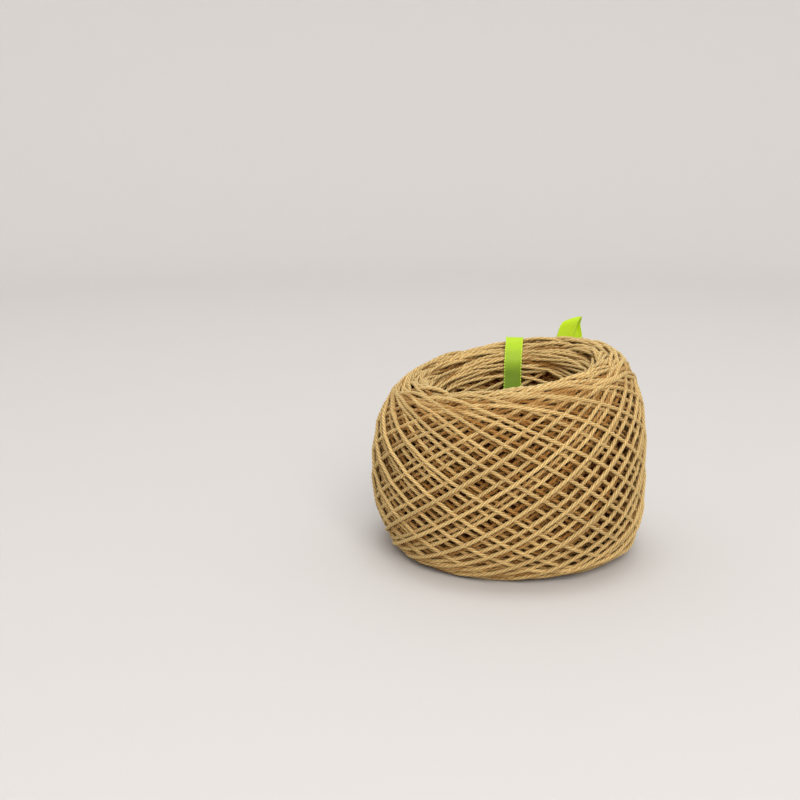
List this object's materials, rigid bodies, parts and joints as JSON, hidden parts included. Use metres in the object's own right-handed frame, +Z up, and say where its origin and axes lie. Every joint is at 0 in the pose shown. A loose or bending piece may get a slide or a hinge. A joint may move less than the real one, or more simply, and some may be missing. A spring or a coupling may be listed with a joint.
{
  "type": "ball of cotton yarn",
  "caption": "Cross-wound ball of cotton yarn with an open hollow through its middle, higher on one side, held by a narrow ribbon tie.",
  "frame": {"origin": "centre of the ball's underside, on the surface it rests on", "axes": "+Z up along the hollow, +X towards the ball's higher side, +Y towards the side with the ribbon tie"},
  "size_m": [0.1025, 0.1034, 0.0821],
  "materials": {
    "cotton_yarn": "matt plied cotton in warm straw tan",
    "satin_ribbon": "bright lime satin with a fine selvage"
  },
  "bodies": {
    "root": {"wound_yarn": "cotton_yarn", "ribbon_tie": "satin_ribbon"}
  },
  "joints": []
}
